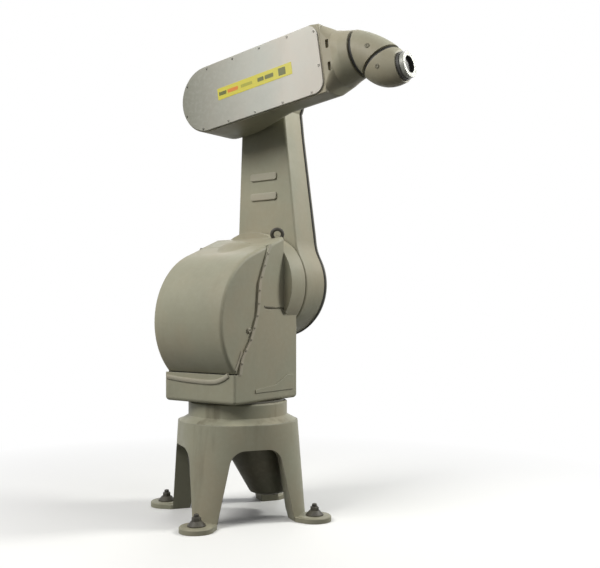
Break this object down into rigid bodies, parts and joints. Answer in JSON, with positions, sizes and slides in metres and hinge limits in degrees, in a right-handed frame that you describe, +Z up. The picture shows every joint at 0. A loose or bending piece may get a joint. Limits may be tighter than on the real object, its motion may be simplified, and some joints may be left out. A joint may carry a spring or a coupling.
{
  "type": "industrial robot arm",
  "caption": "Floor-standing painting robot arm: legged pedestal, turning turret with a bulging motor hood, lower arm, forearm and hollow roll wrist.",
  "frame": {"origin": "on the floor, on the turning axis of the turret, at the centre of the four feet", "axes": "+X along the reach of the arm in the rest pose, +Y along the axis of the shoulder joint, +Z up"},
  "size_m": [1.9079, 1.2928, 3.1159],
  "materials": {
    "body_paint": "olive grey paint, satin, lightly worn",
    "plate_paint": "paler grey paint, satin",
    "dark_rubber": "matt black seals",
    "dark_steel": "dark oiled steel",
    "flange_metal": "bright machined metal",
    "label_yellow": "yellow film with plain dark bars"
  },
  "bodies": {
    "pedestal": {"pedestal_casting": "body_paint", "bearing_housing": "body_paint", "turn_motor_housing": "body_paint", "turn_motor_cap": "body_paint"},
    "turret": {"turntable": "dark_steel", "turret_casting": "body_paint", "motor_hood": "body_paint", "hood_band": "body_paint", "hood_seat": "dark_rubber", "front_panel": "body_paint", "lifting_eye": "dark_steel", "rear_panel": "body_paint"},
    "lower_arm": {"lower_arm": "body_paint", "arm_ribs": "body_paint", "arm_cover": "body_paint", "shoulder_disc": "dark_steel", "elbow_disc": "dark_steel", "shoulder_cap": "body_paint", "elbow_cap": "body_paint"},
    "forearm": {"forearm_housing": "body_paint", "forearm_plate": "plate_paint", "forearm_far_cover": "body_paint", "label_plate": "label_yellow", "forearm_neck": "body_paint", "roll_one_seal": "dark_rubber"},
    "wrist_upper": {"wrist_upper": "body_paint", "roll_two_seal": "dark_rubber"},
    "wrist_lower": {"wrist_lower": "body_paint", "roll_three_seal": "dark_rubber"},
    "tool_flange": {"tool_flange": "flange_metal"}
  },
  "joints": [
    {"name": "turret_turn", "type": "hinge", "parent": "pedestal", "child": "turret", "pos_m": [0, 0, 0.752], "axis": [0, 0, 1], "range_deg": [-160, 160]},
    {"name": "shoulder_swing", "type": "hinge", "parent": "turret", "child": "lower_arm", "pos_m": [0.011, 0.275, 1.524], "axis": [0, 1, 0], "range_deg": [-60, 80]},
    {"name": "elbow_swing", "type": "hinge", "parent": "lower_arm", "child": "forearm", "pos_m": [-0.00015, 0.089, 2.80195], "axis": [0, -1, 0], "range_deg": [-60, 100]},
    {"name": "wrist_roll_one", "type": "hinge", "parent": "forearm", "child": "wrist_upper", "pos_m": [0.92575, 0.089, 2.93208], "axis": [0.9903, 0, 0.1392], "range_deg": [-540, 540]},
    {"name": "wrist_roll_two", "type": "hinge", "parent": "wrist_upper", "child": "wrist_lower", "pos_m": [1.06894, 0.089, 2.84011], "axis": [0.6157, 0, -0.788], "range_deg": [-540, 540]},
    {"name": "wrist_roll_three", "type": "hinge", "parent": "wrist_lower", "child": "tool_flange", "pos_m": [1.22302, 0.089, 2.80723], "axis": [0.9903, 0, 0.1392], "range_deg": [-540, 540]}
  ]
}
